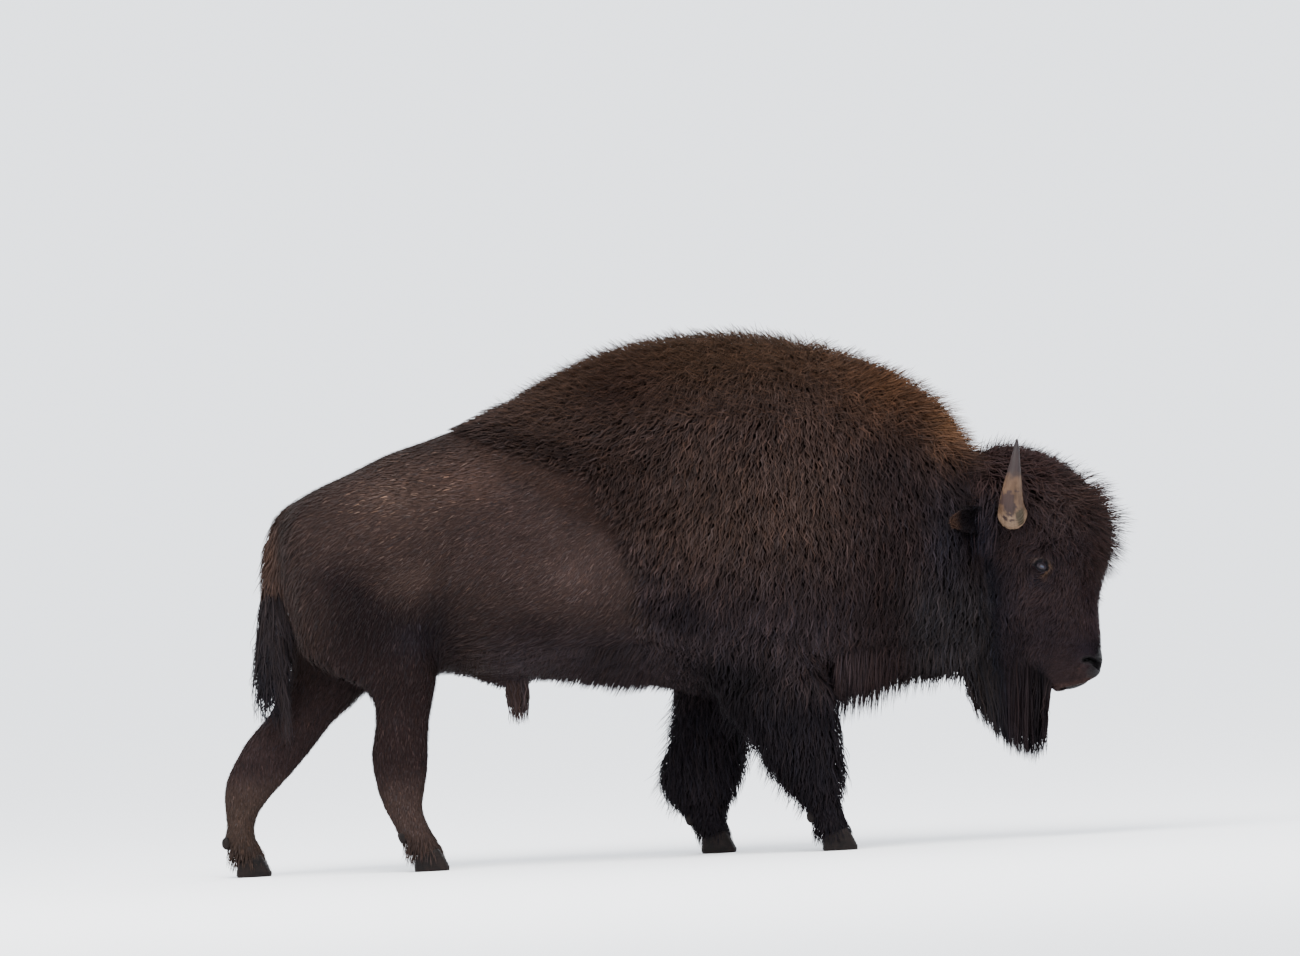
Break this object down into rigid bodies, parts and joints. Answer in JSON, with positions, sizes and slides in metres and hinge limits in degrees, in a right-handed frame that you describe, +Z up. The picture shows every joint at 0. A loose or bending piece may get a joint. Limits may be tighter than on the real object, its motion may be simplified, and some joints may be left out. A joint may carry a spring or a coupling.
{
  "type": "american bison",
  "caption": "Life-size young bison bull in mid-stride, with a high woolly hump, lowered shaggy head, short upturned horns, long beard and tasselled tail.",
  "frame": {"origin": "on the floor under the middle of the animal's bounding box", "axes": "+X forward, the way the animal faces; +Y to its left; +Z up"},
  "size_m": [2.9062, 0.66, 1.684],
  "materials": {
    "coat": "matte hair, reddish brown on the hump, near black on face and legs, greyish brown behind",
    "horn": "satin keratin, tan at the base and dark grey at the tip",
    "hoof": "satin keratin, near black",
    "eye": "wet gloss, dark brown"
  },
  "bodies": {
    "root": {"barrel": "coat", "beard": "coat", "dewclaw_fore_left_inner": "hoof", "dewclaw_fore_left_outer": "hoof", "dewclaw_fore_right_inner": "hoof", "dewclaw_fore_right_outer": "hoof", "dewclaw_hind_left_inner": "hoof", "dewclaw_hind_left_outer": "hoof", "dewclaw_hind_right_inner": "hoof", "dewclaw_hind_right_outer": "hoof", "ear_left": "coat", "ear_right": "coat", "eye_left": "eye", "eye_right": "eye", "fore_cannon_left": "coat", "fore_cannon_right": "coat", "forearm_left": "coat", "forearm_right": "coat", "forequarters": "coat", "haunch_left": "coat", "haunch_right": "coat", "head": "coat", "hind_cannon_left": "coat", "hind_cannon_right": "coat", "hoof_fore_left_inner": "hoof", "hoof_fore_left_outer": "hoof", "hoof_fore_right_inner": "hoof", "hoof_fore_right_outer": "hoof", "hoof_hind_left_inner": "hoof", "hoof_hind_left_outer": "hoof", "hoof_hind_right_inner": "hoof", "hoof_hind_right_outer": "hoof", "horn_left": "horn", "horn_right": "horn", "neck": "coat", "sheath_tuft": "coat", "tail": "coat", "tail_tassel": "coat"}
  },
  "joints": []
}
